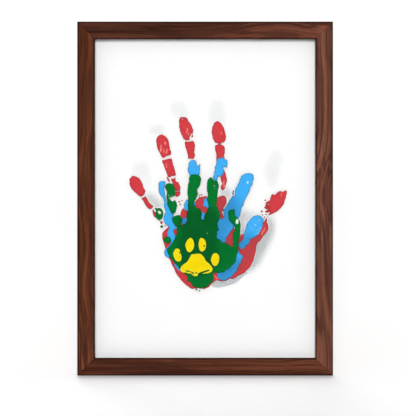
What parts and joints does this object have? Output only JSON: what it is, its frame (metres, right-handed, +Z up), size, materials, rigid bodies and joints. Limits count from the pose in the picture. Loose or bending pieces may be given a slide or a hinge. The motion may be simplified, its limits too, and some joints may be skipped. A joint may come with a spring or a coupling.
{
  "type": "handprint picture frame",
  "caption": "Mitred walnut picture frame on an easel leg, with painted handprints and a paw print on stacked clear sheets over a white card.",
  "frame": {"origin": "on the table, in the middle of the standing frame's footprint", "axes": "+Z up, +Y to the back, where the easel leg stands, +X to the right seen from the front"},
  "size_m": [0.224, 0.089, 0.3062],
  "materials": {
    "walnut": "oiled walnut, satin",
    "clear_acrylic": "clear polished acrylic",
    "white_card": "smooth white card",
    "fibreboard": "plain fibreboard",
    "zinc_steel": "zinc plated",
    "rivet_aluminium": "plain",
    "pale_paint": "pale matt paint",
    "red_paint": "red matt paint",
    "blue_paint": "blue matt paint",
    "green_paint": "green matt paint",
    "yellow_paint": "yellow matt paint"
  },
  "bodies": {
    "frame": {"bottom_rail": "walnut", "top_rail": "walnut", "left_stile": "walnut", "right_stile": "walnut", "corner_v_nails": "zinc_steel", "front_pane": "clear_acrylic", "pale_hand_sheet": "clear_acrylic", "pale_hand_print": "pale_paint", "large_hand_sheet": "clear_acrylic", "large_hand_print": "red_paint", "medium_hand_sheet": "clear_acrylic", "medium_hand_print": "blue_paint", "small_hand_sheet": "clear_acrylic", "small_hand_print": "green_paint", "paw_sheet": "clear_acrylic", "paw_print": "yellow_paint", "white_card": "white_card", "backing_board": "fibreboard", "turn_button_screws": "zinc_steel", "portrait_hanger": "zinc_steel", "landscape_hanger": "zinc_steel", "hanger_rivets": "rivet_aluminium", "board_hinge_leaf": "zinc_steel", "board_hinge_rivets": "rivet_aluminium", "hinge_pin": "zinc_steel"},
    "leg": {"easel_leg": "fibreboard", "leg_hinge_leaf": "zinc_steel", "leg_hinge_rivets": "rivet_aluminium"},
    "turn_button_bottom_left": {"turn_button_bottom_left": "zinc_steel"},
    "turn_button_bottom_right": {"turn_button_bottom_right": "zinc_steel"},
    "turn_button_top_left": {"turn_button_top_left": "zinc_steel"},
    "turn_button_top_right": {"turn_button_top_right": "zinc_steel"},
    "turn_button_left_lower": {"turn_button_left_lower": "zinc_steel"},
    "turn_button_left_upper": {"turn_button_left_upper": "zinc_steel"},
    "turn_button_right_lower": {"turn_button_right_lower": "zinc_steel"},
    "turn_button_right_upper": {"turn_button_right_upper": "zinc_steel"}
  },
  "joints": [
    {"name": "leg_fold", "type": "hinge", "parent": "frame", "child": "leg", "pos_m": [0, 0.01534, 0.20001], "axis": [1, 0, 0], "range_deg": [-20, 0]},
    {"name": "turn_bottom_left", "type": "hinge", "parent": "frame", "child": "turn_button_bottom_left", "pos_m": [-0.065, -0.02808, 0.00273], "axis": [0, 0.9781, -0.2079], "continuous": true},
    {"name": "turn_bottom_right", "type": "hinge", "parent": "frame", "child": "turn_button_bottom_right", "pos_m": [0.065, -0.02808, 0.00273], "axis": [0, 0.9781, -0.2079], "continuous": true},
    {"name": "turn_top_left", "type": "hinge", "parent": "frame", "child": "turn_button_top_left", "pos_m": [-0.065, 0.03513, 0.30009], "axis": [0, 0.9781, -0.2079], "continuous": true},
    {"name": "turn_top_right", "type": "hinge", "parent": "frame", "child": "turn_button_top_right", "pos_m": [0.065, 0.03513, 0.30009], "axis": [0, 0.9781, -0.2079], "continuous": true},
    {"name": "turn_left_lower", "type": "hinge", "parent": "frame", "child": "turn_button_left_lower", "pos_m": [-0.109, -0.01207, 0.07805], "axis": [0, 0.9781, -0.2079], "continuous": true},
    {"name": "turn_left_upper", "type": "hinge", "parent": "frame", "child": "turn_button_left_upper", "pos_m": [-0.109, 0.01912, 0.22477], "axis": [0, 0.9781, -0.2079], "continuous": true},
    {"name": "turn_right_lower", "type": "hinge", "parent": "frame", "child": "turn_button_right_lower", "pos_m": [0.109, -0.01207, 0.07805], "axis": [0, 0.9781, -0.2079], "continuous": true},
    {"name": "turn_right_upper", "type": "hinge", "parent": "frame", "child": "turn_button_right_upper", "pos_m": [0.109, 0.01912, 0.22477], "axis": [0, 0.9781, -0.2079], "continuous": true}
  ]
}
